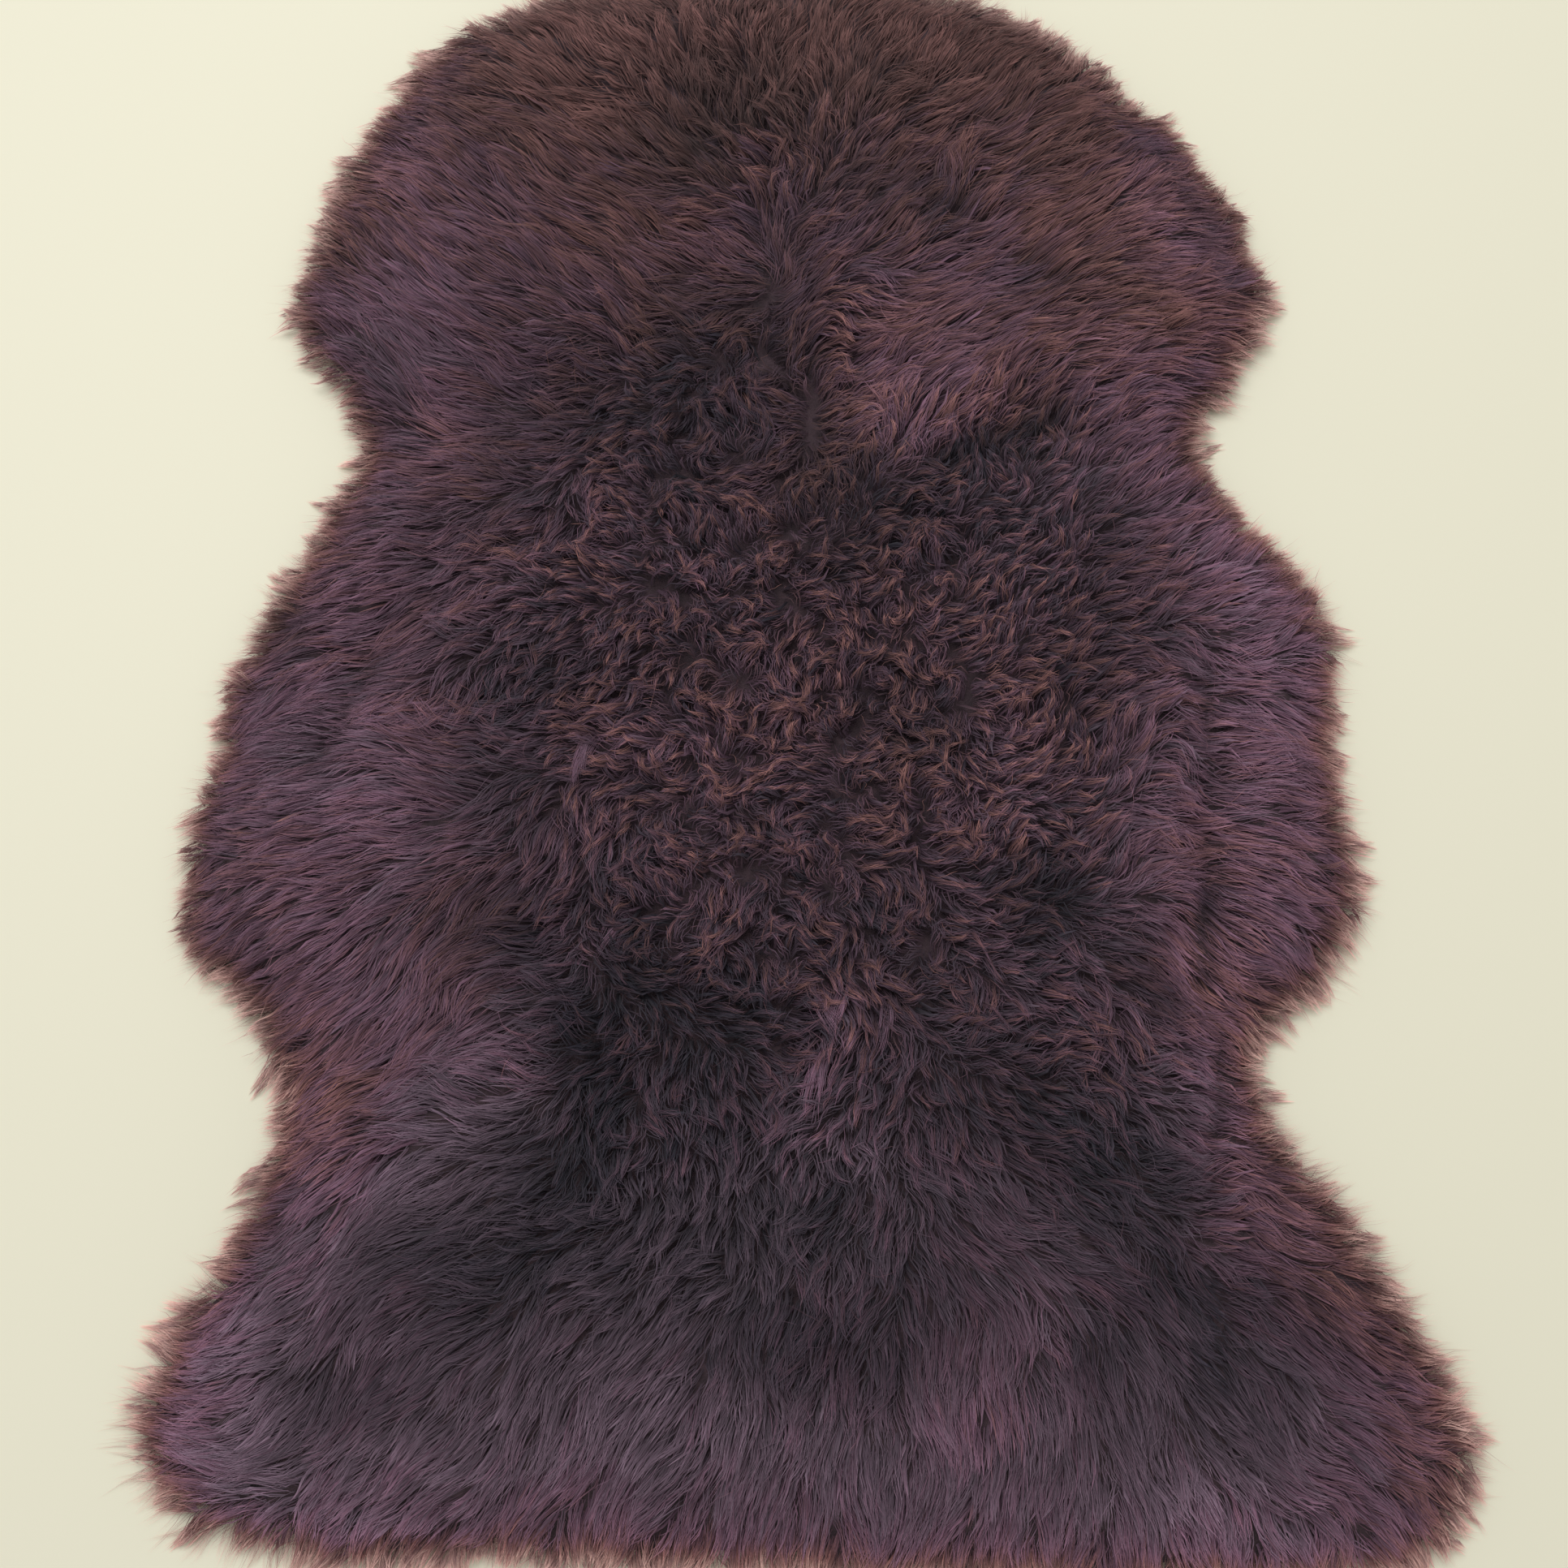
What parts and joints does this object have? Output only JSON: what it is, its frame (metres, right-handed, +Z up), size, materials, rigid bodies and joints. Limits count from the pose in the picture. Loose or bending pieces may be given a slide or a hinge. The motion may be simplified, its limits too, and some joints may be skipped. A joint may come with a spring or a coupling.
{
  "type": "sheepskin",
  "caption": "Whole sheepskin rug lying flat with its long wool up: rounded neck end, lobed sides and wide hind end, with the thin tanned hide beneath",
  "frame": {"origin": "under the middle of the skin's box, on the surface that it lies on", "axes": "X across the skin, +Y from the hind end to the neck, +Z up out of the wool"},
  "size_m": [0.7136, 0.9356, 0.0534],
  "materials": {
    "wool": "long brown wool with a mauve cast, soft sheen on the locks, dark between them",
    "hide": "tanned suede flesh side, matt and lightly mottled"
  },
  "bodies": {
    "root": {"pelt": "wool"}
  },
  "joints": []
}
